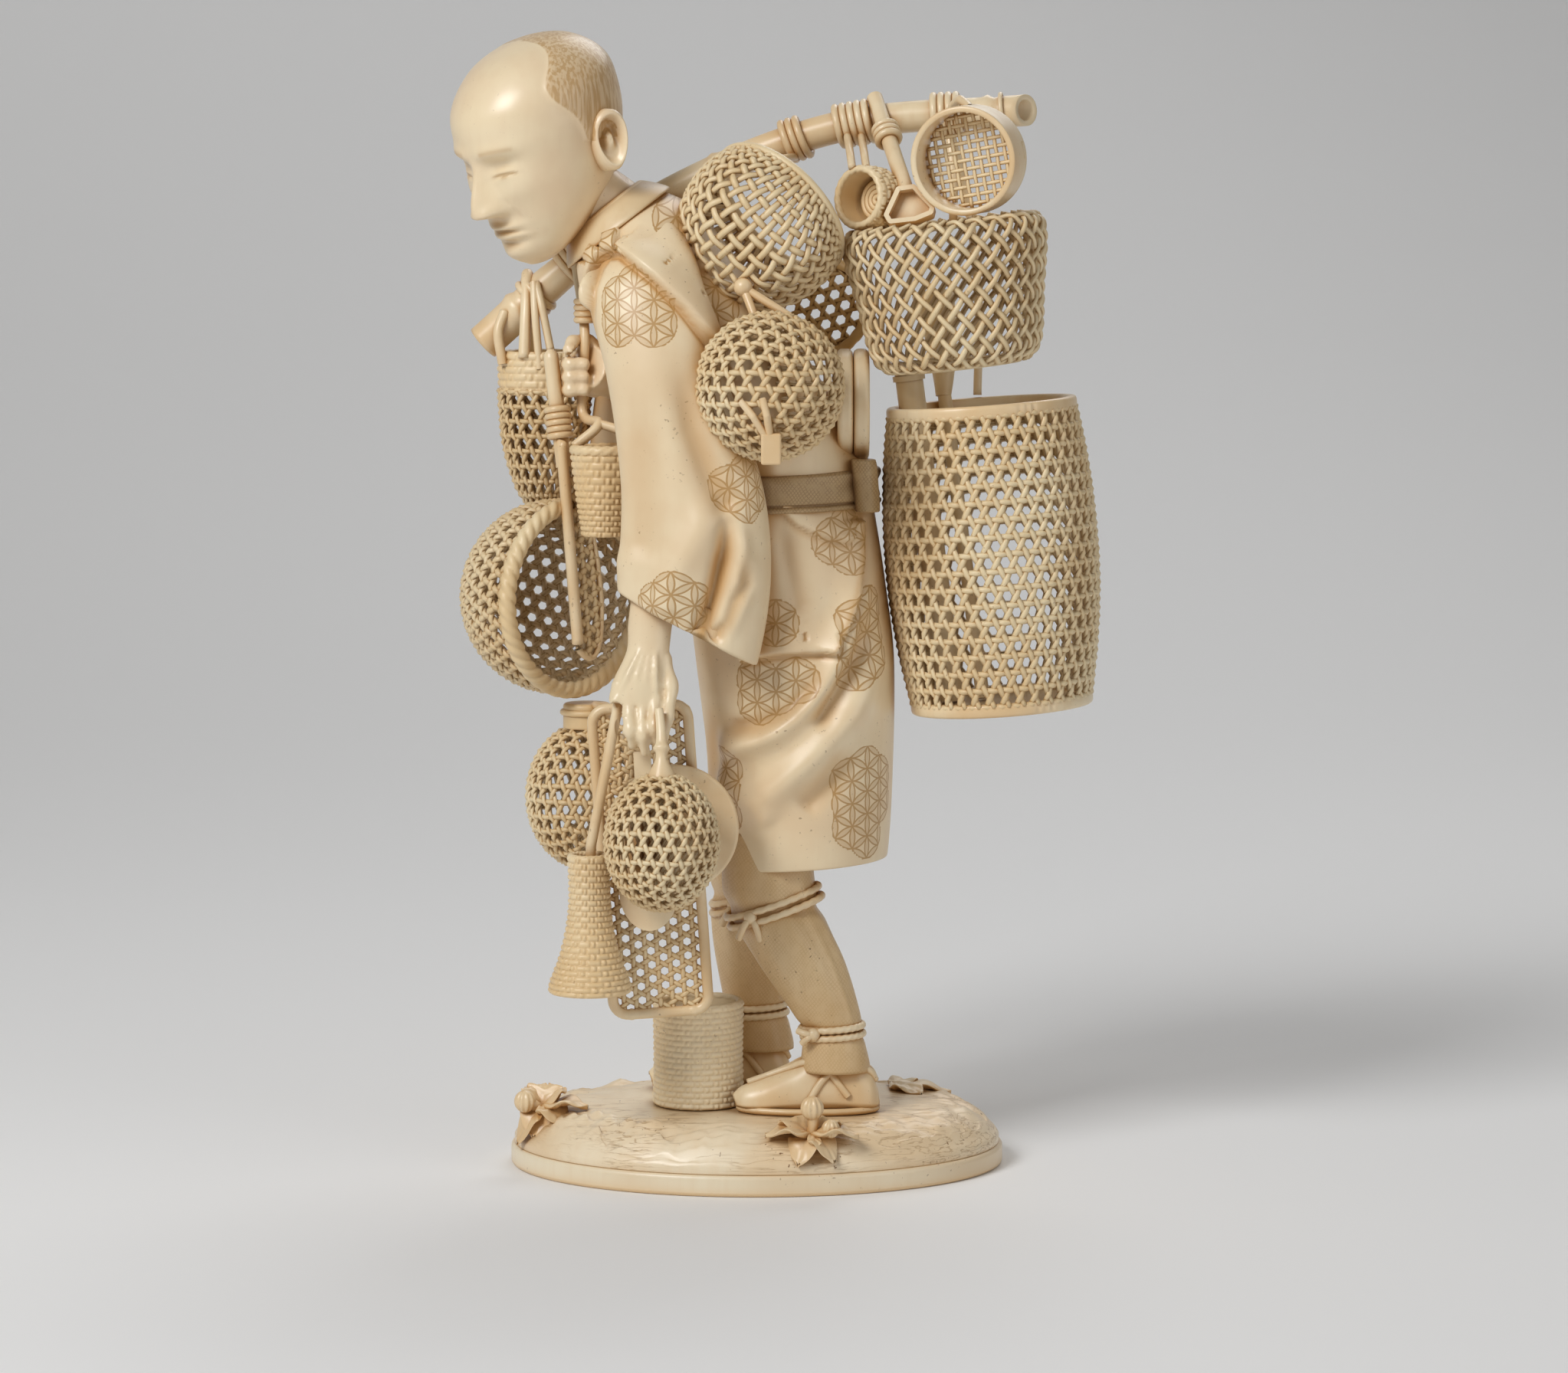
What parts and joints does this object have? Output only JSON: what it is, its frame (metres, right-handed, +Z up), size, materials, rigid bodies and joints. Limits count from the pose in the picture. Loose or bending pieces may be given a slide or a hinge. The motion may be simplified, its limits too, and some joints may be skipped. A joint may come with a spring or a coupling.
{
  "type": "okimono carving",
  "caption": "Carved ivory-style figure of a walking basket seller with a shoulder pole hung with openwork baskets, on a low oval base.",
  "frame": {"origin": "centre of the oval base plate's flat underside", "axes": "+X to the viewer's right in the picture (the figure walks towards -X), +Y away from the viewer, +Z up"},
  "size_m": [0.1391, 0.0936, 0.2454],
  "materials": {
    "ivory": null,
    "woven_ivory": "polished carved basketwork with dust-grey recesses",
    "stained_ivory": "honey-stained cross-hatched ivory"
  },
  "bodies": {
    "root": {"ball_basket": "woven_ivory", "ball_cords": "ivory", "ball_strap": "ivory", "bamboo_tube": "ivory", "barrel_foot_hoop": "woven_ivory", "barrel_top_hoop": "woven_ivory", "barrel_wall": "woven_ivory", "base_mound": "ivory", "base_pegs": "ivory", "base_plate": "ivory", "bucket_basket": "woven_ivory", "bucket_handle": "ivory", "bundle_stick": "ivory", "cap_basket": "woven_ivory", "cup_basket": "woven_ivory", "flower_front": "ivory", "flower_left": "ivory", "foot_pegs": "ivory", "front_sling": "ivory", "hand_ball": "woven_ivory", "hand_cord": "ivory", "head": "ivory", "jar_basket": "woven_ivory", "jar_cords": "ivory", "jar_neck": "ivory", "ladle": "ivory", "lattice_basket": "woven_ivory", "leaf_rear": "ivory", "left_foot": "ivory", "left_hand": "ivory", "left_leg": "stained_ivory", "left_sleeve": "ivory", "lower_robe": "ivory", "net_binding": "ivory", "net_frame": "woven_ivory", "net_mesh": "woven_ivory", "paddle": "ivory", "pail_basket": "woven_ivory", "rear_cords": "ivory", "right_foot": "ivory", "right_hand": "ivory", "right_leg": "stained_ivory", "right_sleeve": "ivory", "round_lid": "ivory", "sash_knot": "stained_ivory", "scoop_basket": "woven_ivory", "scoop_rim": "woven_ivory", "shoulder_pole": "ivory", "sieve_mesh": "woven_ivory", "sieve_ring": "woven_ivory", "stand_basket": "woven_ivory", "travel_hat": "ivory", "tray": "woven_ivory", "trumpet_basket": "woven_ivory", "upper_robe": "ivory", "waist_sash": "stained_ivory", "whisk": "ivory", "winnow_basket": "woven_ivory"}
  },
  "joints": []
}
